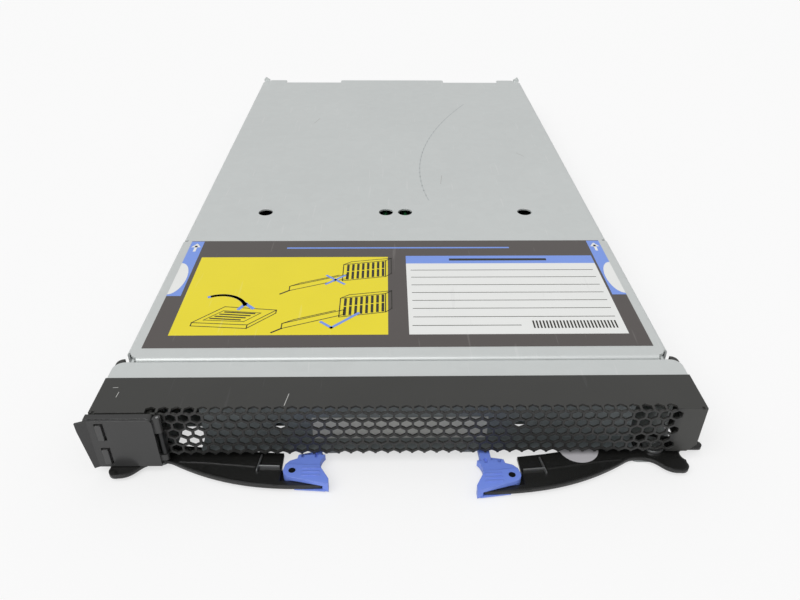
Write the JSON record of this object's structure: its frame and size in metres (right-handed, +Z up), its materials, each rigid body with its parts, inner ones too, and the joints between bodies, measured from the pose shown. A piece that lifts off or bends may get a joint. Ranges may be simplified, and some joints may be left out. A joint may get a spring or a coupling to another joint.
{
  "type": "blade server",
  "caption": "Flat sheet-steel blade server with a perforated wrapped front bezel, hinged top cover, front ejector levers with blue latches and a hinged control panel door.",
  "frame": {"origin": "under the middle of the whole object, on the plane of its base", "axes": "+X to the right seen from the front, +Y towards the rear connectors, +Z up through the cover"},
  "size_m": [0.2566, 0.466, 0.032],
  "materials": {
    "galvanised_steel": "zinc-plated sheet, satin",
    "cover_sheet": "zinc-plated sheet, pale satin with light scratches",
    "label_print": "printed film, dark grey with yellow, white and blue fields",
    "black_plastic": "moulded, fine grain",
    "lever_plastic": "glass-filled nylon, fine grain",
    "dark_steel": "dark coated sheet",
    "blue_plastic": "moulded touch-point blue",
    "pin_steel": "plain steel",
    "dark_pin": "blackened steel",
    "plate_label": "plain pale film",
    "circuit_board": "solder mask over glass laminate",
    "brass_insert": "turned",
    "fin_aluminium": "stamped fins",
    "chip_lid": "nickel-plated copper lid",
    "socket_plastic": "high-temperature plastic",
    "memory_board": "solder mask with black packages",
    "connector_plastic": "liquid-crystal polymer",
    "latch_white": "moulded",
    "tray_steel": "coated sheet",
    "drive_case": "die-cast with a pressed lid",
    "cell_steel": "bright can",
    "ferrite": "moulded powder core",
    "can_aluminium": "plain can",
    "package_black": "moulded package",
    "clear_plastic": "clear polycarbonate",
    "button_grey": "moulded",
    "button_white": "moulded"
  },
  "bodies": {
    "chassis": {"base_tray": "galvanised_steel", "cover_pins": "pin_steel", "system_board": "circuit_board", "board_standoffs": "brass_insert", "board_screws": "pin_steel", "processor_sockets": "socket_plastic", "processors": "chip_lid", "heat_sink_left": "fin_aluminium", "heat_sink_right": "fin_aluminium", "heat_sink_screws": "pin_steel", "memory_sockets": "connector_plastic", "memory_modules": "memory_board", "drive_tray_left": "tray_steel", "drive_tray_right": "tray_steel", "hard_drive_left": "drive_case", "hard_drive_right": "drive_case", "drive_connectors": "connector_plastic", "rear_connector_left": "connector_plastic", "rear_connector_right": "connector_plastic", "expansion_connector": "socket_plastic", "battery": "cell_steel", "battery_holder": "connector_plastic", "power_inductors": "ferrite", "capacitors": "can_aluminium", "logic_chips": "package_black", "front_bezel": "black_plastic", "bezel_carrier": "cover_sheet", "inner_shield": "dark_steel", "shield_label": "plate_label", "panel_housing": "black_plastic", "control_card": "circuit_board", "light_pipes": "clear_plastic", "door_pin": "pin_steel", "lever_pivots": "pin_steel"},
    "cover": {"cover": "cover_sheet", "cover_label": "label_print"},
    "release_left": {"cover_release_left": "galvanised_steel"},
    "release_right": {"cover_release_right": "galvanised_steel"},
    "lever_left": {"ejector_lever_left": "lever_plastic", "latch_pin_left": "dark_pin", "latch_spring_left": "pin_steel"},
    "lever_right": {"ejector_lever_right": "lever_plastic", "latch_pin_right": "dark_pin", "latch_spring_right": "pin_steel"},
    "latch_left": {"latch_left": "blue_plastic"},
    "latch_right": {"latch_right": "blue_plastic"},
    "door": {"panel_door": "black_plastic"},
    "select_upper": {"upper_select_button": "button_grey"},
    "select_lower": {"lower_select_button": "button_grey"},
    "power": {"power_button": "button_white"},
    "drive_lever_left": {"drive_lever_left": "blue_plastic"},
    "drive_lever_right": {"drive_lever_right": "blue_plastic"},
    "memory_latch_1_front": {"memory_latch_1_front": "latch_white"},
    "memory_latch_1_rear": {"memory_latch_1_rear": "latch_white"},
    "memory_latch_2_front": {"memory_latch_2_front": "latch_white"},
    "memory_latch_2_rear": {"memory_latch_2_rear": "latch_white"},
    "memory_latch_3_front": {"memory_latch_3_front": "latch_white"},
    "memory_latch_3_rear": {"memory_latch_3_rear": "latch_white"},
    "memory_latch_4_front": {"memory_latch_4_front": "latch_white"},
    "memory_latch_4_rear": {"memory_latch_4_rear": "latch_white"}
  },
  "joints": [
    {"name": "cover_hinge", "type": "hinge", "parent": "chassis", "child": "cover", "pos_m": [0, 0.22104, 0.02], "axis": [-1, 0, 0], "range_deg": [0, 80]},
    {"name": "release_left_slide", "type": "slide", "parent": "chassis", "child": "release_left", "axis": [1, 0, 0], "range_m": [0, 0.0018], "stiffness_N_per_m": 600},
    {"name": "release_right_slide", "type": "slide", "parent": "chassis", "child": "release_right", "axis": [-1, 0, 0], "range_m": [0, 0.0018], "stiffness_N_per_m": 600},
    {"name": "lever_left_pivot", "type": "hinge", "parent": "chassis", "child": "lever_left", "pos_m": [-0.107, -0.20797, 0.0023], "axis": [0, 0, -1], "range_deg": [0, 68]},
    {"name": "lever_right_pivot", "type": "hinge", "parent": "chassis", "child": "lever_right", "pos_m": [0.107, -0.20797, 0.0023], "axis": [0, 0, 1], "range_deg": [-3, 65]},
    {"name": "latch_left_pivot", "type": "hinge", "parent": "lever_left", "child": "latch_left", "pos_m": [-0.0437, -0.22176, 0.0032], "axis": [0, 0, 1], "range_deg": [0, 8], "stiffness_Nm_per_rad": 0.05},
    {"name": "latch_right_pivot", "type": "hinge", "parent": "lever_right", "child": "latch_right", "pos_m": [0.04451, -0.22506, 0.0032], "axis": [0, 0, -1], "range_deg": [0, 8], "stiffness_Nm_per_rad": 0.05},
    {"name": "panel_door_hinge", "type": "hinge", "parent": "chassis", "child": "door", "pos_m": [-0.0954, -0.21487, 0.016], "axis": [0, 0, 1], "range_deg": [0, 100]},
    {"name": "select_upper_press", "type": "slide", "parent": "door", "child": "select_upper", "axis": [0, 1, 0], "range_m": [0, 0.0007], "stiffness_N_per_m": 300},
    {"name": "select_lower_press", "type": "slide", "parent": "door", "child": "select_lower", "axis": [0, 1, 0], "range_m": [0, 0.0007], "stiffness_N_per_m": 300},
    {"name": "power_press", "type": "slide", "parent": "chassis", "child": "power", "axis": [0, 1, 0], "range_m": [0, 0.001], "stiffness_N_per_m": 300},
    {"name": "drive_lever_left_pivot", "type": "hinge", "parent": "chassis", "child": "drive_lever_left", "pos_m": [-0.074, -0.00146, 0.0096], "axis": [1, 0, 0], "range_deg": [0, 30]},
    {"name": "drive_lever_right_pivot", "type": "hinge", "parent": "chassis", "child": "drive_lever_right", "pos_m": [0.074, -0.00146, 0.0096], "axis": [1, 0, 0], "range_deg": [0, 30]},
    {"name": "memory_latch_1_front_pivot", "type": "hinge", "parent": "chassis", "child": "memory_latch_1_front", "pos_m": [-0.018, -0.15587, 0.0088], "axis": [1, 0, 0], "range_deg": [0, 35]},
    {"name": "memory_latch_1_rear_pivot", "type": "hinge", "parent": "chassis", "child": "memory_latch_1_rear", "pos_m": [-0.018, -0.01707, 0.0088], "axis": [-1, 0, 0], "range_deg": [0, 35]},
    {"name": "memory_latch_2_front_pivot", "type": "hinge", "parent": "chassis", "child": "memory_latch_2_front", "pos_m": [-0.006, -0.15587, 0.0088], "axis": [1, 0, 0], "range_deg": [0, 35]},
    {"name": "memory_latch_2_rear_pivot", "type": "hinge", "parent": "chassis", "child": "memory_latch_2_rear", "pos_m": [-0.006, -0.01707, 0.0088], "axis": [-1, 0, 0], "range_deg": [0, 35]},
    {"name": "memory_latch_3_front_pivot", "type": "hinge", "parent": "chassis", "child": "memory_latch_3_front", "pos_m": [0.006, -0.15587, 0.0088], "axis": [1, 0, 0], "range_deg": [0, 35]},
    {"name": "memory_latch_3_rear_pivot", "type": "hinge", "parent": "chassis", "child": "memory_latch_3_rear", "pos_m": [0.006, -0.01707, 0.0088], "axis": [-1, 0, 0], "range_deg": [0, 35]},
    {"name": "memory_latch_4_front_pivot", "type": "hinge", "parent": "chassis", "child": "memory_latch_4_front", "pos_m": [0.018, -0.15587, 0.0088], "axis": [1, 0, 0], "range_deg": [0, 35]},
    {"name": "memory_latch_4_rear_pivot", "type": "hinge", "parent": "chassis", "child": "memory_latch_4_rear", "pos_m": [0.018, -0.01707, 0.0088], "axis": [-1, 0, 0], "range_deg": [0, 35]}
  ]
}
